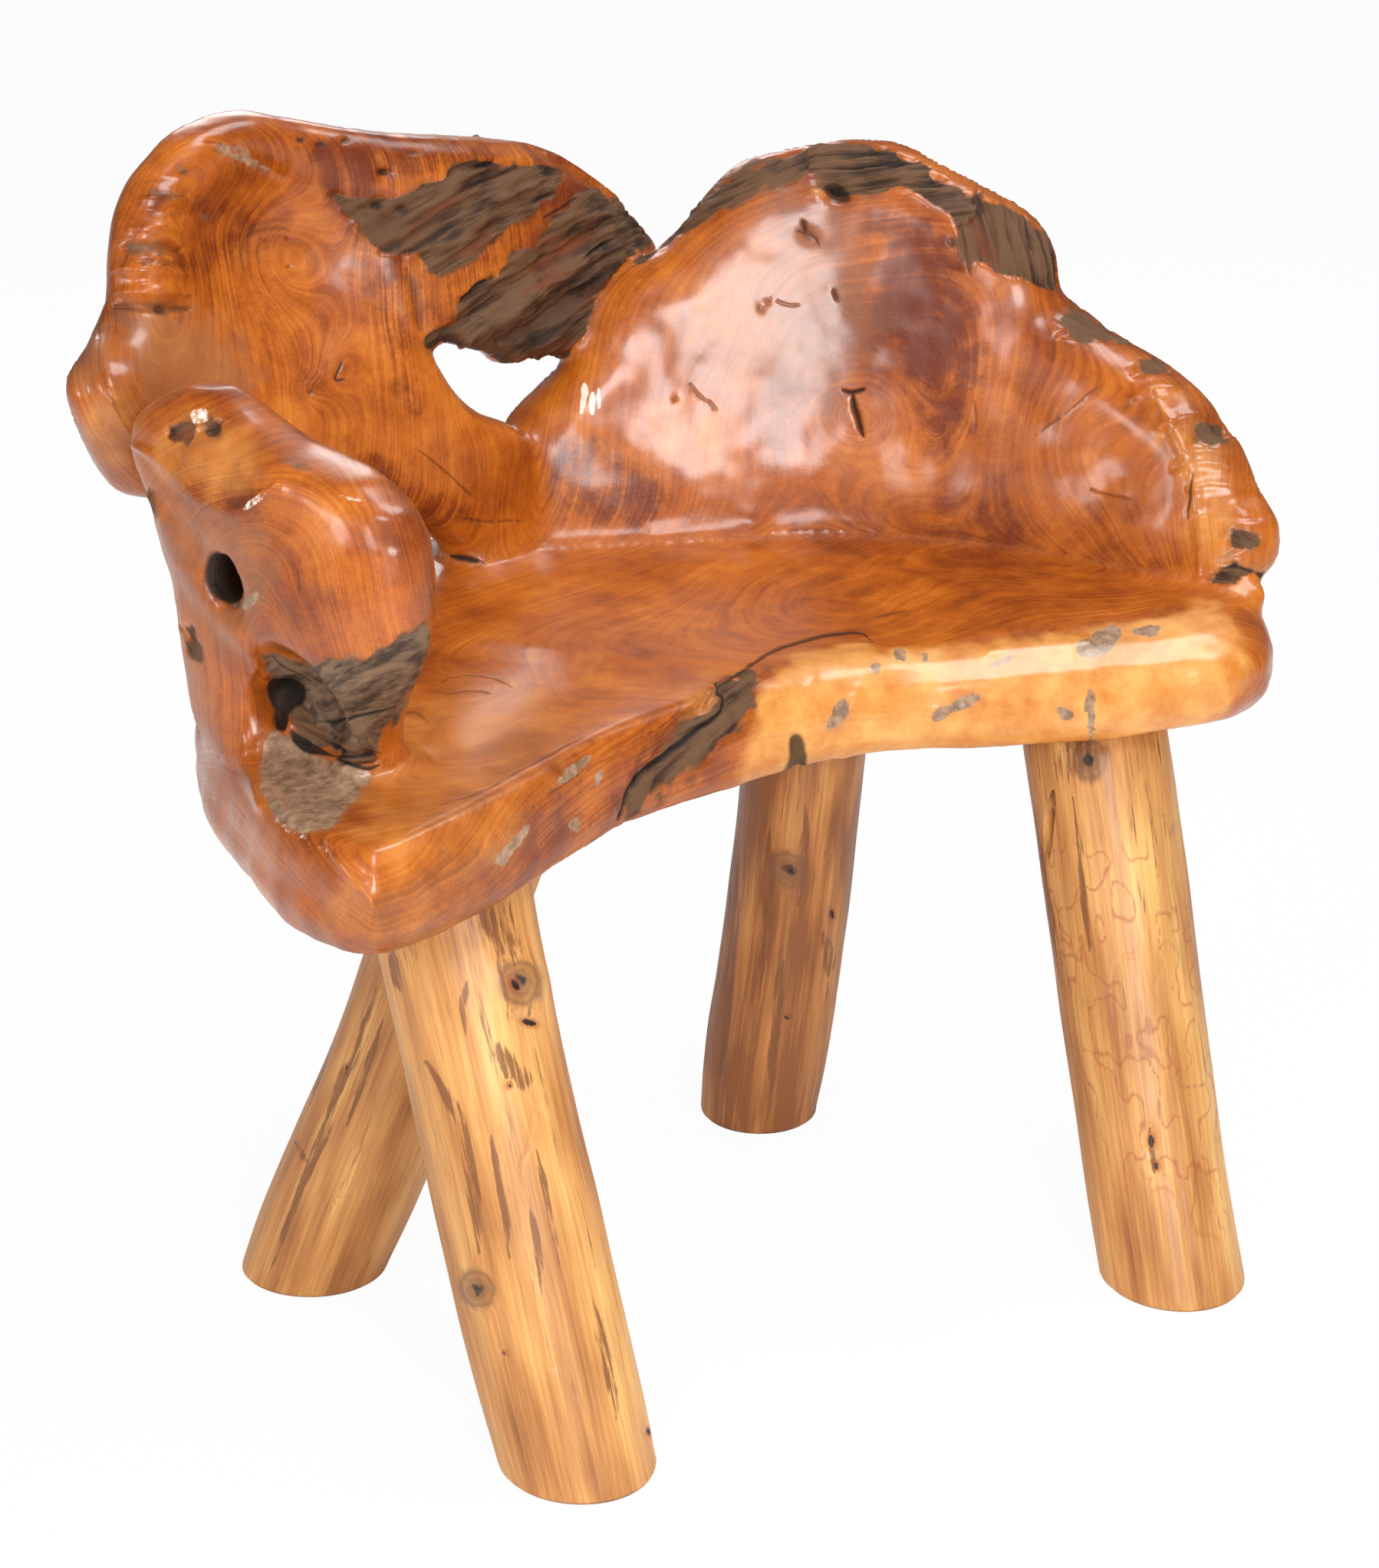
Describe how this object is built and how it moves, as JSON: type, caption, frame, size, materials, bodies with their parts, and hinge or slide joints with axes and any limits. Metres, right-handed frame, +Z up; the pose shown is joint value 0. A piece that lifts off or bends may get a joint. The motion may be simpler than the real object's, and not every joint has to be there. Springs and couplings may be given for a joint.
{
  "type": "root chair",
  "caption": "Low armchair of carved root wood: thick slab seat, domed back that curls into the right arm, spoon-like wing, upright left arm, splayed log legs.",
  "frame": {"origin": "on the floor under the middle of the whole chair", "axes": "+Z up; the sitter faces -Y; +X is to the right when the chair is seen from the front, towards the end of the back that curls into the right arm"},
  "size_m": [0.8477, 0.6804, 0.7829],
  "materials": {
    "root_wood": "carved teak root, sanded and lacquered glossy, with patches of dark bark",
    "log_wood": "peeled log, satin lacquer, pale honey brown with darker streaks",
    "dowel_wood": "plain turned hardwood",
    "fastener_steel": "zinc-plated steel"
  },
  "bodies": {
    "root": {"seat_slab": "root_wood", "back_root": "root_wood", "wing_root": "root_wood", "arm_root": "root_wood", "leg_front_left": "log_wood", "leg_front_right": "log_wood", "leg_rear_right": "log_wood", "leg_rear_left": "log_wood", "leg_front_left_screw": "fastener_steel", "leg_front_right_screw": "fastener_steel", "leg_rear_right_screw": "fastener_steel", "leg_rear_left_screw": "fastener_steel", "back_dowel_1": "dowel_wood", "back_dowel_2": "dowel_wood", "back_dowel_3": "dowel_wood", "back_dowel_4": "dowel_wood", "wing_dowel_1": "dowel_wood", "arm_dowel_1": "dowel_wood", "arm_dowel_2": "dowel_wood", "back_lag_screw_1": "fastener_steel", "back_lag_screw_2": "fastener_steel", "wing_lag_screw_1": "fastener_steel", "arm_lag_screw_1": "fastener_steel", "back_washer_1": "fastener_steel", "back_washer_2": "fastener_steel", "wing_washer_1": "fastener_steel", "arm_washer_1": "fastener_steel"}
  },
  "joints": []
}
